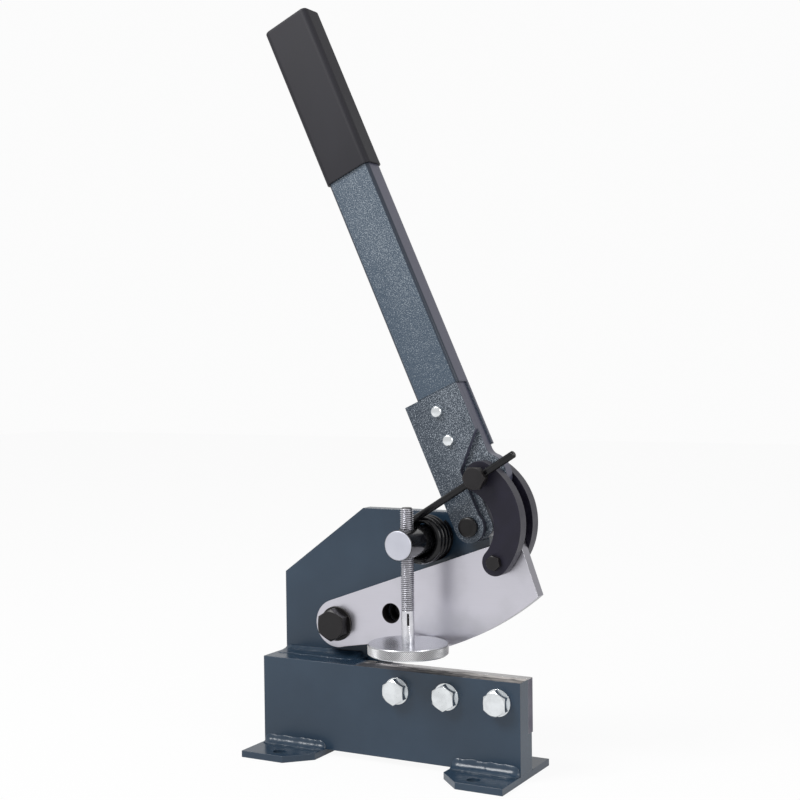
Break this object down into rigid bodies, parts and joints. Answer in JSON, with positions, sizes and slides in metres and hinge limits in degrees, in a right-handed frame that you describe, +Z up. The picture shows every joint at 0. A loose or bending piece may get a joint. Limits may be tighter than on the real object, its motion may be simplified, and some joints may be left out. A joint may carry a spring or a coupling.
{
  "type": "hand lever shear",
  "caption": "Bench hand lever shear: swinging upper blade, fixed lower blade, long handle with curved toggle links, return spring and screw hold-down.",
  "frame": {"origin": "middle of the four bench bolt holes, on the underside of the feet", "axes": "+X to the right along the base as the operator faces it, +Y away from the operator, +Z up"},
  "size_m": [0.2274, 0.095, 0.5793],
  "materials": {
    "frame_paint": "smooth glossy dark slate blue",
    "hammered_paint": "hammered dark slate paint",
    "black_oxide": "black oxide, oiled",
    "ground_steel": "ground steel",
    "zinc": "bright zinc plate",
    "grip_plastic": "satin black plastic"
  },
  "bodies": {
    "frame": {"base_bar": "frame_paint", "left_foot": "frame_paint", "right_foot": "frame_paint", "rear_spacer": "frame_paint", "upper_frame_plate": "frame_paint", "lower_blade": "ground_steel", "lower_blade_bolt_1": "zinc", "lower_blade_bolt_2": "zinc", "lower_blade_bolt_3": "zinc", "lower_blade_washer_1": "zinc", "lower_blade_washer_2": "zinc", "lower_blade_washer_3": "zinc", "blade_pivot_bolt": "black_oxide", "blade_pivot_washer": "black_oxide", "blade_pivot_nut": "black_oxide", "lever_pivot_bolt": "black_oxide", "lever_pivot_nut": "black_oxide", "hold_down_bar": "black_oxide"},
    "upper_blade": {"upper_blade": "ground_steel"},
    "handle": {"lever_plate": "hammered_paint", "lever_cheek": "hammered_paint", "lever_tube": "hammered_paint", "lever_rivet_upper": "zinc", "lever_rivet_lower": "zinc", "grip": "grip_plastic"},
    "links": {"front_link": "black_oxide", "rear_link": "black_oxide", "link_bolt": "black_oxide", "link_nut": "black_oxide"},
    "eye_bolt": {"eye_bolt": "black_oxide", "eye_bolt_nut": "black_oxide"},
    "return_spring": {"return_spring": "black_oxide"},
    "hold_down": {"hold_down_screw": "zinc", "hold_down_foot": "ground_steel"}
  },
  "joints": [
    {"name": "handle_pivot", "type": "hinge", "parent": "frame", "child": "handle", "pos_m": [0.062, 0.018, 0.1802], "axis": [0, 1, 0], "range_deg": [0, 92], "stiffness_Nm_per_rad": 1.5, "springref_deg": -60.16},
    {"name": "blade_pivot", "type": "hinge", "parent": "frame", "child": "upper_blade", "pos_m": [-0.056, 0.0173, 0.0985], "axis": [0, 1, 0], "range_deg": [0, 20.2]},
    {"name": "link_pivot", "type": "hinge", "parent": "handle", "child": "links", "pos_m": [0.07403, 0.0173, 0.21784], "axis": [0, 1, 0], "range_deg": [-79.5, 0.5]},
    {"name": "eye_pivot", "type": "hinge", "parent": "handle", "child": "eye_bolt", "pos_m": [0.07403, 0.0173, 0.21784], "axis": [0, 1, 0], "range_deg": [-46.8, 0.5]},
    {"name": "spring_turn", "type": "hinge", "parent": "frame", "child": "return_spring", "pos_m": [0.025, 0.0088, 0.1694], "axis": [0, 1, 0], "range_deg": [0, 46.2], "deforming": ["return_spring"]},
    {"name": "hold_down_screw", "type": "slide", "parent": "frame", "child": "hold_down", "axis": [0, 0, 1], "range_m": [-0.015, 0.038]}
  ],
  "couplings": [
    {"joint": "blade_pivot", "follows": "handle_pivot", "ratio": 0.2178},
    {"joint": "link_pivot", "follows": "handle_pivot", "ratio": -0.8604},
    {"joint": "eye_pivot", "follows": "handle_pivot", "ratio": -0.50351},
    {"joint": "spring_turn", "follows": "handle_pivot", "ratio": 0.49649}
  ]
}
